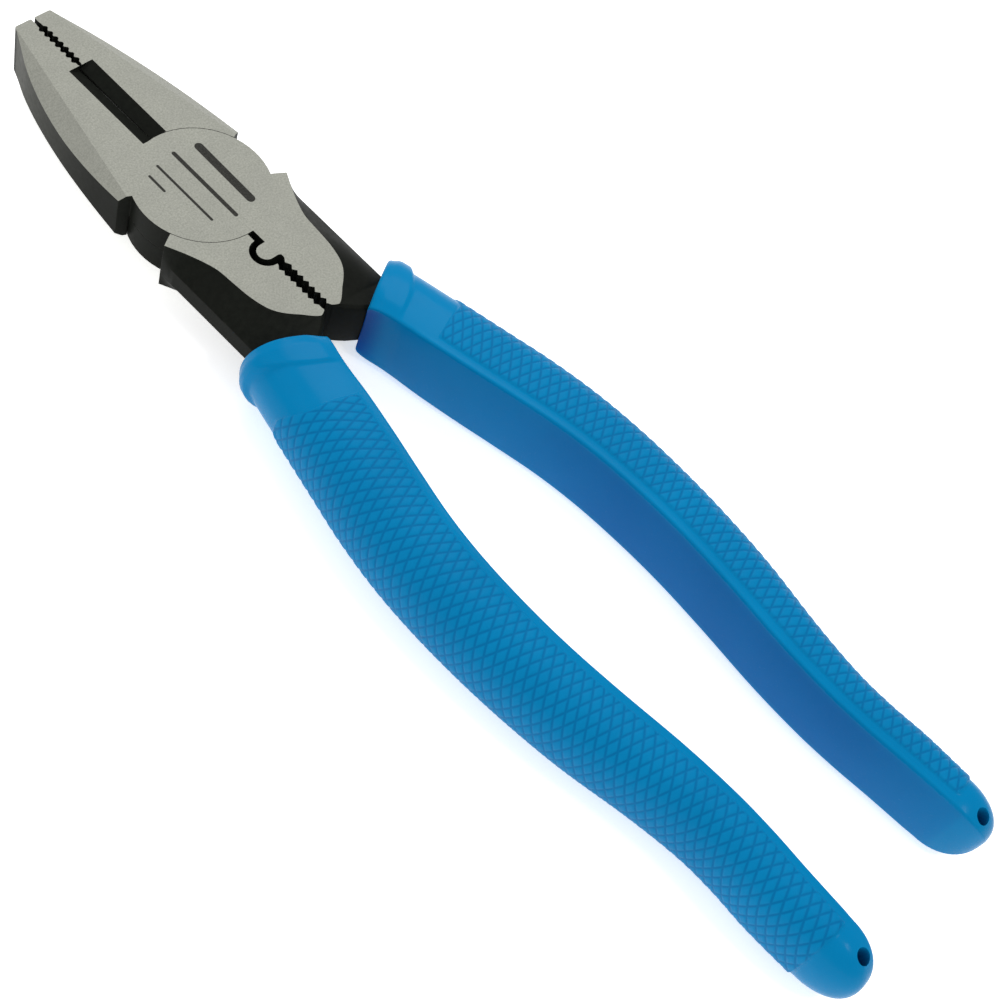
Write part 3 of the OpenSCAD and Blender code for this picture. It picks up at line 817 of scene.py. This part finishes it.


def grip_material():
    """Blue moulded elastomer: soft sheen, faint mottling, painted shade in the grooves and on the
    inner side.
    """
    t = Tree("grip_blue")
    obj = t.new("ShaderNodeTexCoord").outputs["Object"]
    s, v, texture, shade = [t.new("ShaderNodeAttribute", attribute_name=name).outputs["Fac"]
                            for name in ("along", "around", "texture", "shade")]
    grooves = []
    for op in ("ADD", "SUBTRACT"):
        phase = t.math(op, t.math("DIVIDE", s, KNURL_S), t.math("DIVIDE", v, KNURL_V))
        away = t.math("ABSOLUTE", t.sub(phase, t.math("ROUND", phase)))
        grooves.append(t.step(t.math("DIVIDE", away, KNURL_K), off=0.34, on=0.06))
        if len(grooves) == 2:
            either = t.math("MAXIMUM", *grooves)
    groove = t.mul(either, texture)
    cloud = t.noise(obj, scale=55.0, detail=3.0, rough=0.5)
    grain = t.noise(obj, scale=2600.0, detail=3.0, rough=0.6)
    speck = t.noise(obj, scale=700.0, detail=2.0, rough=0.5)
    # strength of the painted shade in the grooves, added roughness of the texture, relief of the
    # specks
    groove_shade_strength, texture_rough, speck_relief = 0.5, 0.25, 1.2
    colour = t.mix(t.remap(cloud, span=(0.3, 0.7)), BLUE_A, BLUE_B)
    colour = t.mix(t.remap(speck, span=(0.55, 0.8), to=(0.0, 0.25)), colour, BLUE_B)
    # painted shade in the grooves
    colour = t.mix(t.mul(groove, groove_shade_strength), colour, BLUE_GROOVE_SHADE)
    # painted shade on the inner side
    colour = t.mix(shade, colour, BLUE_INNER_SHADE)
    shader = t.new("ShaderNodeBsdfPrincipled")
    rough = t.remap(grain, span=(0.3, 0.7), to=(0.19, 0.28))
    t.feed(shader, {"Base Color": colour,
                    "Roughness": t.add(rough, t.mul(texture, texture_rough)),
                    "Specular IOR Level": 0.05})
    bump = t.new("ShaderNodeBump")
    t.feed(bump, {"Strength": 0.3, "Distance": 0.00002,
                  "Height": t.add(grain, t.mul(speck, speck_relief))})
    t.link(bump.outputs[0], shader.inputs["Normal"])
    return t.finish(shader)


grip_mat = grip_material()
grip_data = make_grip_mesh()
for name, node, mirror, body in (("right_sleeve", "right_grip", False, "front_side"),
                                 ("left_sleeve", "left_grip", True, "rear_side")):
    sleeve = grip_object(name, mirror, grip_data)
    sleeve.data.materials.append(grip_mat)
    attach(sleeve, body)
    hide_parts(node)

# ---------------------------------------------------------------- stage (metres)
FLOOR_HALF = 3.0


def floor_material():
    t = Tree("floor_white")
    shader = t.new("ShaderNodeBsdfPrincipled")
    t.feed(shader, {"Base Color": (0.93, 0.93, 0.93, 1), "Roughness": 0.9,
                    "Specular IOR Level": 0.1,
                    "Emission Color": (1, 1, 1, 1), "Emission Strength": 0.58})
    return t.finish(shader)


low = min(CAD_BOX[0][2], CAD_BOX[1][2])
corners = [(x * FLOOR_HALF, y * FLOOR_HALF, low) for x, y in ((-1, -1), (1, -1), (1, 1), (-1, 1))]
floor_mesh = bpy.data.meshes.new("floor")
floor_mesh.from_pydata(corners, [], [(0, 1, 2, 3)])
floor = bpy.data.objects.new("floor", floor_mesh)
scene.collection.objects.link(floor)
floor_mesh.materials.append(floor_material())

# the backdrop is seen as plain white and lights the tool a little less strongly
WORLD_LIGHT, WORLD_SEEN = 0.62, 1.0
world = bpy.data.worlds.new("studio")
scene.world = world
world.use_nodes = True
world_tree = world.node_tree
background = world_tree.nodes["Background"]
background.inputs[0].default_value = (1, 1, 1, 1)
light_path = world_tree.nodes.new("ShaderNodeLightPath")
strength = world_tree.nodes.new("ShaderNodeMapRange")
strength.inputs[3].default_value = WORLD_LIGHT
strength.inputs[4].default_value = WORLD_SEEN
world_tree.links.new(light_path.outputs["Is Camera Ray"], strength.inputs[0])
world_tree.links.new(strength.outputs[0], background.inputs[1])


def area(name, place, target, size, power):
    light = bpy.data.lights.new(name, "AREA")
    light.shape = "SQUARE"
    light.size = size
    light.energy = power
    obj = bpy.data.objects.new(name, light)
    scene.collection.objects.link(obj)
    obj.location = place
    obj.rotation_euler = (Vector(target) - Vector(place)).to_track_quat("-Z", "Y").to_euler()


TOOL, HANDLES = (0, -0.06, 0), (0, -0.14, 0)
area("key", place=(0.40, 0.34, 0.74), target=TOOL, size=0.6, power=3.3)
area("fill", place=(-0.5, 0.3, 0.7), target=TOOL, size=0.8, power=0.8)
area("lamp_a", place=(0.02, -0.52, 0.72), target=HANDLES, size=0.05, power=0.6)
area("lamp_b", place=(0.12, -0.48, 0.74), target=HANDLES, size=0.05, power=0.5)

# ---------------------------------------------------------------- camera (metres)
CAMERA_PLACE = (-0.16212, -0.14074, 0.25950 + HALF_THICK * MM)
# columns: the camera's right, up and backward directions
CAMERA_AXES = Matrix(((0.6695, 0.5318, -0.5188),
                      (-0.6997, 0.6862, -0.1997),
                      (0.2497, 0.4968, 0.8312)))
camera_data = bpy.data.cameras.new("photo_camera")
camera_data.sensor_width = 36.0
camera_data.lens = 64.94
camera_data.clip_start = 0.01
camera = bpy.data.objects.new("photo_camera", camera_data)
scene.collection.objects.link(camera)
turn = CAMERA_AXES.to_quaternion().to_matrix().to_4x4()
camera.matrix_world = Matrix.Translation(CAMERA_PLACE) @ turn
scene.camera = camera
scene.view_settings.view_transform = "Standard"
